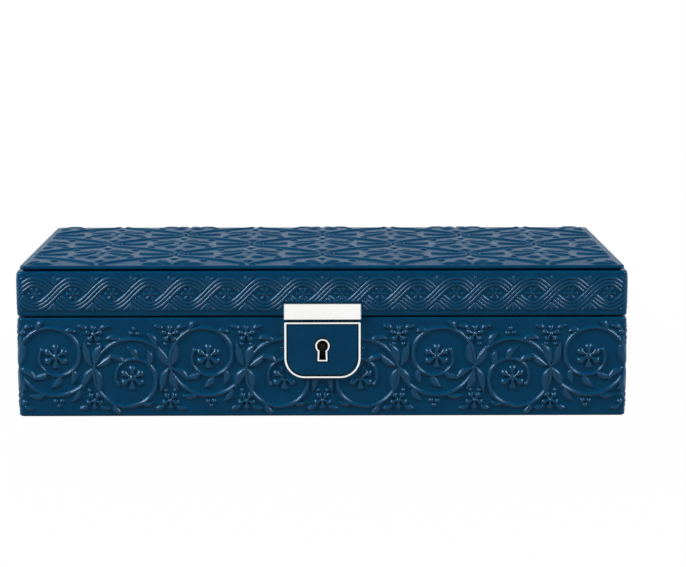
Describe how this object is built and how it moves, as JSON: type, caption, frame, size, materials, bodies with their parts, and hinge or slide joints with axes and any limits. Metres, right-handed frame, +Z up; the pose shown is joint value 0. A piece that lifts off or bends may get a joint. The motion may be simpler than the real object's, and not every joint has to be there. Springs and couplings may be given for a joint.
{
  "type": "jewellery case",
  "caption": "Leather-covered jewellery case with a hinged lid, padded top panel, front hasp and box lock, and a suede-lined inside with ring rolls, dividers and a mirror.",
  "frame": {"origin": "on the table, under the middle of the case", "axes": "+X to the right along the case, -Y to the front with the lock, +Z up"},
  "size_m": [0.3, 0.1526, 0.0753],
  "materials": {
    "navy_leather": "embossed semi-gloss dyed leather",
    "inlay_leather": "smooth semi-gloss dyed leather",
    "greyboard": "bare pressed board",
    "suede": "soft napped suede cloth",
    "ring_pad": "soft napped suede cloth over foam",
    "foam": "closed-cell foam",
    "felt": "pressed felt",
    "polished_nickel": "polished nickel plate",
    "steel": "nickel-plated steel",
    "mirror": "silvered glass"
  },
  "bodies": {
    "base": {"base_back_board": "greyboard", "base_back_lining": "suede", "base_floor_board": "greyboard", "base_floor_lining": "suede", "base_front_board": "greyboard", "base_front_lining": "suede", "base_hinge_screws": "steel", "base_leather_wrap": "navy_leather", "base_left_board": "greyboard", "base_left_lining": "suede", "base_right_board": "greyboard", "base_right_lining": "suede", "hinge_left_base_leaf": "steel", "hinge_left_pin": "steel", "hinge_right_base_leaf": "steel", "hinge_right_pin": "steel", "lock_case": "steel", "lock_drill_pin": "steel", "lock_guides": "steel", "lock_inlay": "inlay_leather", "lock_plate": "polished_nickel", "lock_spring": "steel", "long_divider": "suede", "ring_bed": "ring_pad", "ring_divider": "suede", "ring_roll_1": "ring_pad", "ring_roll_2": "ring_pad", "ring_roll_3": "ring_pad", "ring_roll_4": "ring_pad", "ring_roll_5": "ring_pad", "ring_roll_6": "ring_pad", "ring_roll_7": "ring_pad", "ring_roll_8": "ring_pad", "small_divider_1": "suede", "small_divider_2": "suede", "underside_card": "greyboard", "underside_felt": "felt"},
    "lid": {"lid_front_board": "greyboard", "lid_back_board": "greyboard", "lid_left_board": "greyboard", "lid_right_board": "greyboard", "lid_top_board": "greyboard", "lid_leather_wrap": "navy_leather", "lid_filler_card": "suede", "panel_board": "greyboard", "panel_foam": "foam", "panel_leather": "navy_leather", "lid_side_lining": "suede", "lid_ceiling_lining": "suede", "lid_mirror": "mirror", "hasp_bar": "polished_nickel", "hasp_staple": "steel", "hinge_left_lid_leaf": "steel", "hinge_right_lid_leaf": "steel", "lid_hinge_screws": "steel"},
    "bolt": {"lock_bolt": "steel"}
  },
  "joints": [
    {"name": "lid_hinge", "type": "hinge", "parent": "base", "child": "lid", "pos_m": [0, 0.07275, 0.0501], "axis": [-1, 0, 0], "range_deg": [0, 100]},
    {"name": "bolt_slide", "type": "slide", "parent": "base", "child": "bolt", "axis": [1, 0, 0], "range_m": [0, 0.005]}
  ]
}
